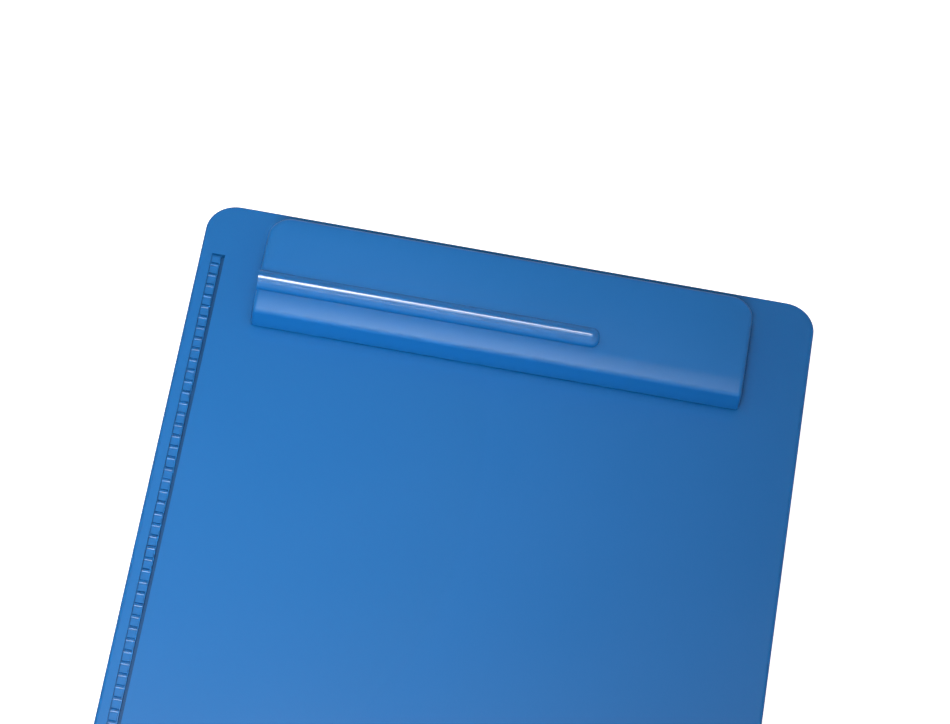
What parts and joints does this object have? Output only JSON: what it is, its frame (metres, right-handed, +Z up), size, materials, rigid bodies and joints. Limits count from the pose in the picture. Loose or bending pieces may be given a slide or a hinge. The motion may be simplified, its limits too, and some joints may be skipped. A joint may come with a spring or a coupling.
{
  "type": "storage clipboard box",
  "caption": "Clipboard plate with a wide sprung clip and pen channel, hinged as the lid of a shallow document tray, with a side latch and a moulded ladder scale",
  "frame": {"origin": "under the middle of the box, on the surface that its feet stand on", "axes": "+X to the right along the width, +Y along the length towards the clip end, +Z up"},
  "size_m": [0.24, 0.345, 0.0444],
  "materials": {
    "body_plastic": "satin moulded blue",
    "clip_plastic": "glossier moulded blue",
    "pad_rubber": "matt black",
    "bracket_steel": "zinc-plated sheet",
    "pin_steel": "drawn rod",
    "spring_wire": "bright spring wire"
  },
  "bodies": {
    "tray": {"base_tray": "body_plastic", "hinge_pin_front": "pin_steel", "hinge_pin_rear": "pin_steel"},
    "lid": {"lid_plate": "body_plastic", "scale_strip": "body_plastic", "clip_bracket_left": "bracket_steel", "clip_bracket_right": "bracket_steel", "clip_pin_left": "pin_steel", "clip_pin_right": "pin_steel", "pin_retainers": "pin_steel", "clip_spring_left": "spring_wire", "clip_spring_right": "spring_wire", "bracket_rivets": "pin_steel", "latch_pin": "pin_steel"},
    "clip": {"clip_lever": "clip_plastic", "jaw_pad": "pad_rubber"},
    "latch": {"latch": "body_plastic"}
  },
  "joints": [
    {"name": "lid_hinge", "type": "hinge", "parent": "tray", "child": "lid", "pos_m": [-0.1162, 0, 0.0234], "axis": [0, -1, 0], "range_deg": [0, 145]},
    {"name": "clip_pivot", "type": "hinge", "parent": "lid", "child": "clip", "pos_m": [0, 0.1455, 0.0342], "axis": [-1, 0, 0], "range_deg": [0, 15], "stiffness_Nm_per_rad": 0.8, "springref_deg": -28.65, "deforming": ["clip_spring_left", "clip_spring_right"]},
    {"name": "latch_pivot", "type": "hinge", "parent": "lid", "child": "latch", "pos_m": [0.1151, 0, 0.0242], "axis": [0, -1, 0], "range_deg": [0, 80]}
  ]
}
